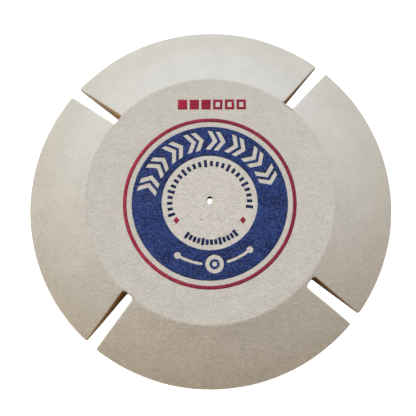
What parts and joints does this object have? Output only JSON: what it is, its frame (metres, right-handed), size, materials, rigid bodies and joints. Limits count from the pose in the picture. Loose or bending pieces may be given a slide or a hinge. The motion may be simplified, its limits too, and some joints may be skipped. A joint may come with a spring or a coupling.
{
  "type": "felt polishing wheel",
  "caption": "Bevelled pressed-felt polishing wheel with a tapered pin hole, open cooling slots cut in from the rim and a printed flat face with a band, ring and grade scale.",
  "frame": {"origin": "centre of the wheel's flat back, on the pin hole's axis, with the wheel lying on its back", "axes": "+Z along the pin hole's axis and out of the printed face, +Y towards the top of the print, where the grade scale is"},
  "size_m": [0.254, 0.254, 0.0254],
  "materials": {
    "felt": "matte pressed wool felt, off-white to beige, faintly speckled",
    "red_ink": "matte crimson ink soaked into felt",
    "blue_ink": "matte blue ink soaked into felt, with bare flecks",
    "navy_ink": "matte dark blue ink soaked into felt"
  },
  "bodies": {
    "root": {"felt_body": "felt", "red_ink_ring": "red_ink", "blue_ink_band": "blue_ink", "red_grade_scale": "red_ink", "blue_tick_arc_upper": "navy_ink", "blue_tick_arc_lower": "navy_ink", "red_diamond_left": "red_ink", "red_diamond_right": "red_ink"}
  },
  "joints": []
}
